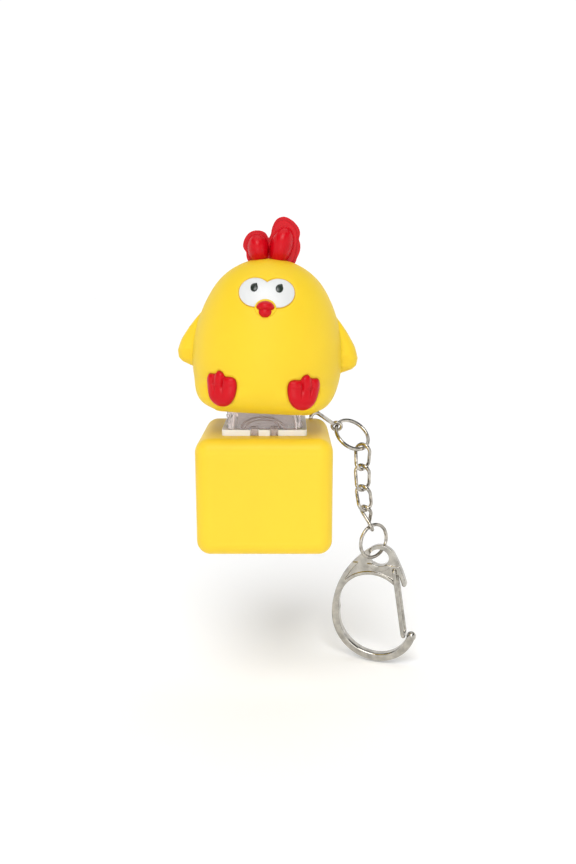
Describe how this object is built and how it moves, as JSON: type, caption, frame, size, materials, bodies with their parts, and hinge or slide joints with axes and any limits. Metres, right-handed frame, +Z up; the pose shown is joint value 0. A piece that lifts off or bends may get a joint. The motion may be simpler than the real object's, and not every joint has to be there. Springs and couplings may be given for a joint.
{
  "type": "key switch keychain with chick keycap",
  "caption": "Push-button keychain: chick-shaped keycap on a clear mechanical key switch in a rounded cube case, with chain and wire-gate hook.",
  "frame": {"origin": "centre of the case's flat bottom face", "axes": "+Z up through the key's axis, -Y the way the chick faces, +X towards the chain"},
  "size_m": [0.0485, 0.0297, 0.0938],
  "materials": {
    "case_yellow": "satin moulded ABS",
    "chick_yellow": "satin soft vinyl",
    "chick_red": "glossy soft vinyl",
    "chick_white": "satin soft vinyl",
    "chick_black": "gloss paint",
    "insert_white": "moulded ABS",
    "switch_white": "satin moulded nylon",
    "switch_clear": "clear polycarbonate",
    "stem_grey": "satin acetal",
    "spring_steel": "bright spring wire",
    "contact_copper": "copper alloy strip",
    "contact_brass": "brass disc with ceramic",
    "contact_nickel": "nickel-plated strip",
    "cell_steel": "bright nickel-plated can",
    "board_green": "solder-masked laminate",
    "chip_black": "epoxy blob",
    "led_clear": "clear epoxy",
    "foam_black": "closed-cell foam",
    "wire_red": "PVC insulation",
    "screw_steel": "zinc-plated",
    "chain_chrome": "polished plating",
    "hook_chrome": "polished plating"
  },
  "bodies": {
    "case": {"case_body": "case_yellow", "bottom_cover": "case_yellow", "cover_screws": "screw_steel", "circuit_board": "board_green", "chip_blob": "chip_black", "led": "led_clear", "speaker_disc": "contact_brass", "foam_pad": "foam_black", "button_cells": "cell_steel", "cell_holder": "switch_white", "battery_contacts": "contact_nickel", "lead_wires": "wire_red", "lower_housing": "switch_white", "upper_housing": "switch_clear", "contact_terminals": "contact_copper", "return_spring": "spring_steel", "eye_pin": "chain_chrome"},
    "key": {"switch_stem": "stem_grey", "keycap_insert": "insert_white", "chick_body": "chick_yellow", "comb": "chick_red", "beak": "chick_red", "eye_patch": "chick_white", "pupils": "chick_black", "left_foot": "chick_red", "right_foot": "chick_red"},
    "leaf": {"contact_leaf": "contact_copper"},
    "ring": {"hanging_ring": "chain_chrome"},
    "link_1": {"chain_link_1": "chain_chrome"},
    "link_2": {"chain_link_2": "chain_chrome"},
    "link_3": {"chain_link_3": "chain_chrome"},
    "link_4": {"chain_link_4": "chain_chrome"},
    "jump_ring": {"jump_ring": "chain_chrome"},
    "hook": {"hook_body": "hook_chrome"},
    "gate": {"gate_wire": "hook_chrome"}
  },
  "joints": [
    {"name": "key_press", "type": "slide", "parent": "case", "child": "key", "axis": [0, 0, -1], "range_m": [0, 0.0036], "stiffness_N_per_m": 75, "springref_m": -0.004, "deforming": ["return_spring"]},
    {"name": "contact_close", "type": "hinge", "parent": "case", "child": "leaf", "pos_m": [0, 0.00468, 0.0188], "axis": [-1, 0, 0], "range_deg": [0, 4.2]},
    {"name": "ring_swing", "type": "hinge", "parent": "case", "child": "ring", "pos_m": [0.0145, 0.0121, 0.0198], "axis": [-0.07, -0.9303, -0.3601], "range_deg": [-8, 25]},
    {"name": "link_1_swing", "type": "hinge", "parent": "ring", "child": "link_1", "pos_m": [0.01987, 0.01034, 0.01541], "axis": [-0.7294, -0.671, -0.1329], "range_deg": [-5, 20]},
    {"name": "link_2_swing", "type": "hinge", "parent": "link_1", "child": "link_2", "pos_m": [0.01987, 0.01045, 0.01093], "axis": [-0.7071, -0.7071, 0], "range_deg": [-5, 20]},
    {"name": "link_3_swing", "type": "hinge", "parent": "link_2", "child": "link_3", "pos_m": [0.01997, 0.01052, 0.00729], "axis": [0.7071, -0.7071, 0], "range_deg": [-5, 20]},
    {"name": "link_4_swing", "type": "hinge", "parent": "link_3", "child": "link_4", "pos_m": [0.02081, 0.01063, 0.00197], "axis": [-0.7071, -0.7071, 0], "range_deg": [-5, 20]},
    {"name": "jump_ring_swing", "type": "hinge", "parent": "link_4", "child": "jump_ring", "pos_m": [0.02213, 0.01072, -0.00234], "axis": [0.2588, -0.9659, 0], "range_deg": [-5, 20]},
    {"name": "hook_swing", "type": "hinge", "parent": "jump_ring", "child": "hook", "pos_m": [0.0236, 0.01175, -0.00842], "axis": [-0.309, -0.9511, 0], "range_deg": [-8, 30]},
    {"name": "gate_open", "type": "hinge", "parent": "hook", "child": "gate", "pos_m": [0.02733, 0.01055, -0.0112], "axis": [0.309, 0.9511, 0], "range_deg": [0, 28], "stiffness_Nm_per_rad": 0.002, "springref_deg": -17.19}
  ],
  "couplings": [
    {"joint": "contact_close", "follows": "key_press", "rad_per_m": 19.392}
  ]
}
